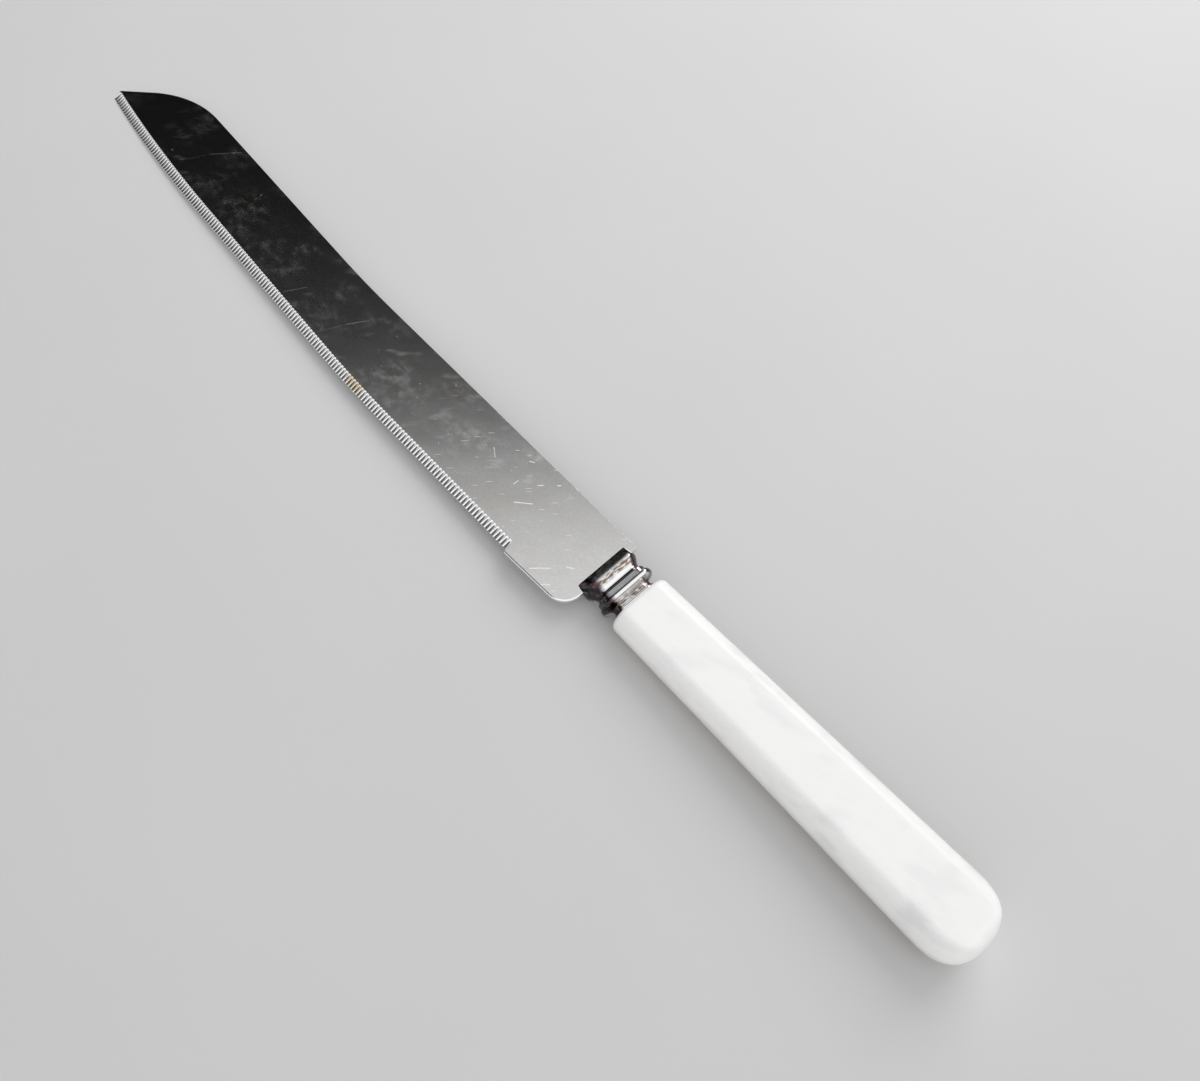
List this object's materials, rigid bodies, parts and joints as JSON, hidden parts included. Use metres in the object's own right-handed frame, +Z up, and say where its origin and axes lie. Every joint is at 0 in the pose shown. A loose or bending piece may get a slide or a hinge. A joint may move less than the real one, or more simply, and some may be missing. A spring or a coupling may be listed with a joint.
{
  "type": "cake knife",
  "caption": "Long cake knife with an upswept fluted blade, a plain rounded heel, a moulded bright bolster and a flat-faced pearl-effect handle for slicing and serving.",
  "frame": {"origin": "under the middle of the knife's overall box, level with the lowest face, which is the handle's underside near the butt", "axes": "+X from the butt to the tip, +Y from the spine towards the cutting edge, +Z up through the ground face of the blade, with the blade lying level"},
  "size_m": [0.301, 0.0272, 0.0123],
  "materials": {
    "blade_steel": "satin polish with fine use scratches",
    "bolster_plate": "bright plate",
    "pearl_plastic": "white pearl effect, polished",
    "cement": "set resin"
  },
  "bodies": {
    "root": {"blade": "blade_steel", "bolster": "bolster_plate", "handle": "pearl_plastic", "tang_cement": "cement"}
  },
  "joints": []
}
